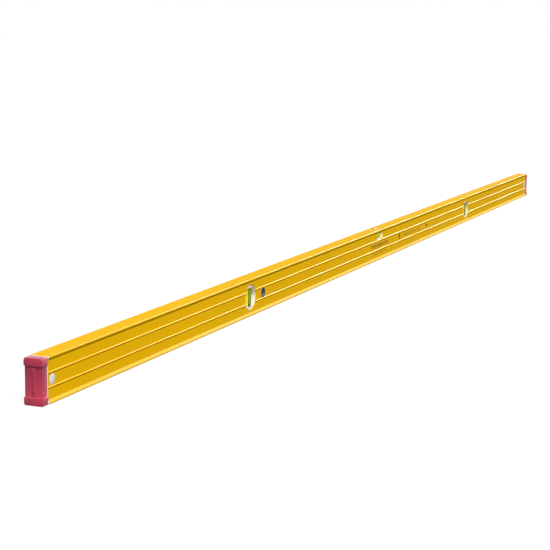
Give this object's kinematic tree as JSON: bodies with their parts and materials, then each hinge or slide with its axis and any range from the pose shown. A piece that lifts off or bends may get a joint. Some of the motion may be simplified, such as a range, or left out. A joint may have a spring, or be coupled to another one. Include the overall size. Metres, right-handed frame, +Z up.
{
  "type": "spirit level",
  "caption": "Long box-beam spirit level with plumb and level vials, a hanging hole, and shock-absorbing end caps locked by spring buttons.",
  "frame": {"origin": "centre of the bottom measuring face", "axes": "+X along the level, +Y across its thickness towards the rear side, +Z up from the bottom to the top measuring face"},
  "size_m": [2.44, 0.027, 0.06],
  "materials": {
    "yellow_coat": "powder coated, satin",
    "red_rubber": "moulded, matt",
    "white_plastic": "moulded, satin",
    "spring_steel": "drawn wire",
    "clear_acrylic": "clear, polished",
    "vial_liquid": "tinted liquid",
    "black_rings": "printed line",
    "bubble": "clear",
    "bush_grey": "moulded, gloss"
  },
  "bodies": {
    "level": {"profile": "yellow_coat", "end_plug_left": "white_plastic", "bumper_left": "red_rubber", "end_plug_right": "white_plastic", "bumper_right": "red_rubber", "spring_front_left": "spring_steel", "spring_rear_left": "spring_steel", "spring_front_right": "spring_steel", "spring_rear_right": "spring_steel", "plumb_housing_left": "white_plastic", "plumb_block_left": "clear_acrylic", "plumb_liquid_left": "vial_liquid", "plumb_rings_left": "black_rings", "plumb_filler_plug_left": "white_plastic", "plumb_housing_right": "white_plastic", "plumb_block_right": "clear_acrylic", "plumb_liquid_right": "vial_liquid", "plumb_rings_right": "black_rings", "plumb_filler_plug_right": "white_plastic", "level_housing": "white_plastic", "level_block": "clear_acrylic", "level_liquid": "vial_liquid", "level_rings": "black_rings", "level_filler_plug": "white_plastic", "hanging_bush_front": "bush_grey", "hanging_bush_rear": "bush_grey"},
    "button_front_left": {"button_front_left": "white_plastic"},
    "button_rear_left": {"button_rear_left": "white_plastic"},
    "button_front_right": {"button_front_right": "white_plastic"},
    "button_rear_right": {"button_rear_right": "white_plastic"},
    "plumb_bubble_left": {"plumb_bubble_left": "bubble"},
    "plumb_bubble_right": {"plumb_bubble_right": "bubble"},
    "level_bubble": {"level_bubble": "bubble"}
  },
  "joints": [
    {"name": "press_front_left", "type": "slide", "parent": "level", "child": "button_front_left", "axis": [0, 1, 0], "range_m": [0, 0.0028], "stiffness_N_per_m": 600, "springref_m": -0.003, "deforming": ["spring_front_left"]},
    {"name": "press_rear_left", "type": "slide", "parent": "level", "child": "button_rear_left", "axis": [0, -1, 0], "range_m": [0, 0.0028], "stiffness_N_per_m": 600, "springref_m": -0.003, "deforming": ["spring_rear_left"]},
    {"name": "press_front_right", "type": "slide", "parent": "level", "child": "button_front_right", "axis": [0, 1, 0], "range_m": [0, 0.0028], "stiffness_N_per_m": 600, "springref_m": -0.003, "deforming": ["spring_front_right"]},
    {"name": "press_rear_right", "type": "slide", "parent": "level", "child": "button_rear_right", "axis": [0, -1, 0], "range_m": [0, 0.0028], "stiffness_N_per_m": 600, "springref_m": -0.003, "deforming": ["spring_rear_right"]},
    {"name": "plumb_bubble_drift_left", "type": "slide", "parent": "level", "child": "plumb_bubble_left", "axis": [0, 0, 1], "range_m": [-0.0136, 0], "stiffness_N_per_m": 1, "springref_m": 0.01},
    {"name": "plumb_bubble_drift_right", "type": "slide", "parent": "level", "child": "plumb_bubble_right", "axis": [0, 0, 1], "range_m": [-0.0136, 0], "stiffness_N_per_m": 1, "springref_m": 0.01},
    {"name": "level_bubble_drift", "type": "slide", "parent": "level", "child": "level_bubble", "axis": [1, 0, 0], "range_m": [-0.0108, 0.0108], "stiffness_N_per_m": 0.5}
  ]
}
